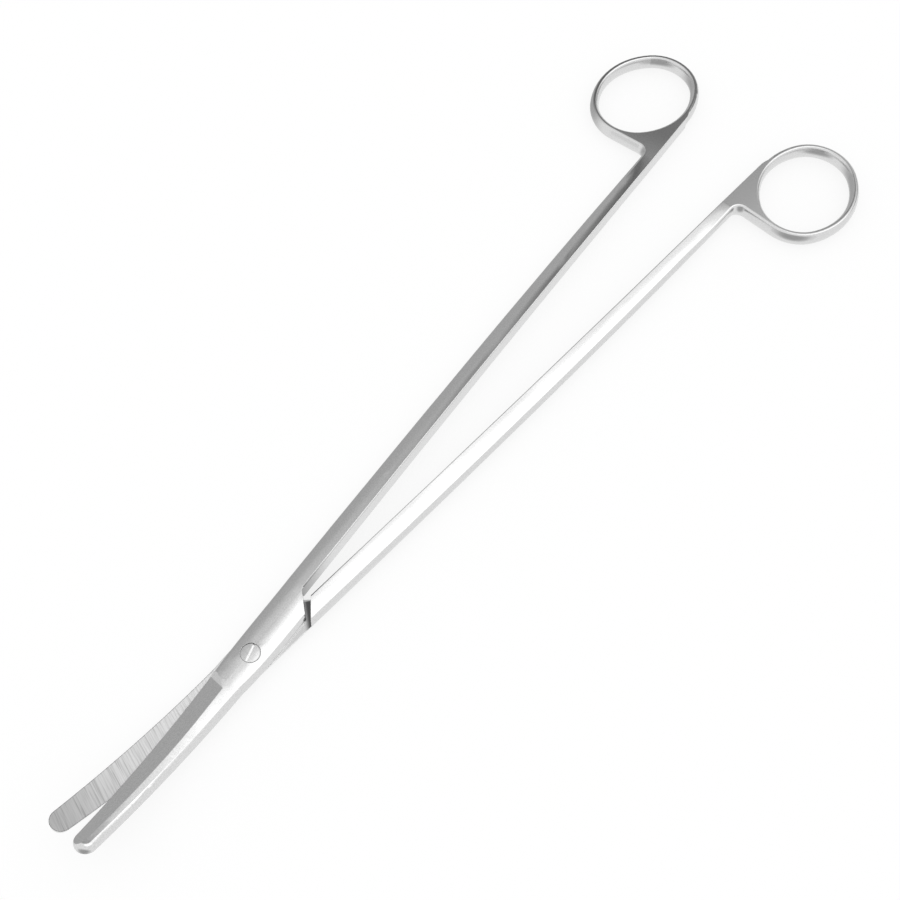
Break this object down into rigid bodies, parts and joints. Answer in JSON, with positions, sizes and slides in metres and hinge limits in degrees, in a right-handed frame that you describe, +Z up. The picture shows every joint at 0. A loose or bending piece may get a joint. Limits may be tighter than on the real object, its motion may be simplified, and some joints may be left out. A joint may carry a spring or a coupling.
{
  "type": "dissecting scissors",
  "caption": "Long straight-shanked dissecting scissors with finger rings, a screwed lap joint and blunt blades curved on the flat.",
  "frame": {"origin": "on the pivot axis, at the plane the scissors lie on", "axes": "+Z up along the pivot axis, +Y along the scissors towards the finger rings, blades towards -Y"},
  "size_m": [0.0802, 0.2585, 0.0124],
  "materials": {
    "satin_steel": "satin",
    "screw_steel": "satin"
  },
  "bodies": {
    "lower": {"lower_half": "satin_steel", "pivot_screw": "screw_steel"},
    "upper": {"upper_half": "satin_steel"}
  },
  "joints": [
    {"name": "pivot", "type": "hinge", "parent": "lower", "child": "upper", "pos_m": [0, 0, 0], "axis": [0, 0, 1], "range_deg": [-7.2, 72.8]}
  ]
}
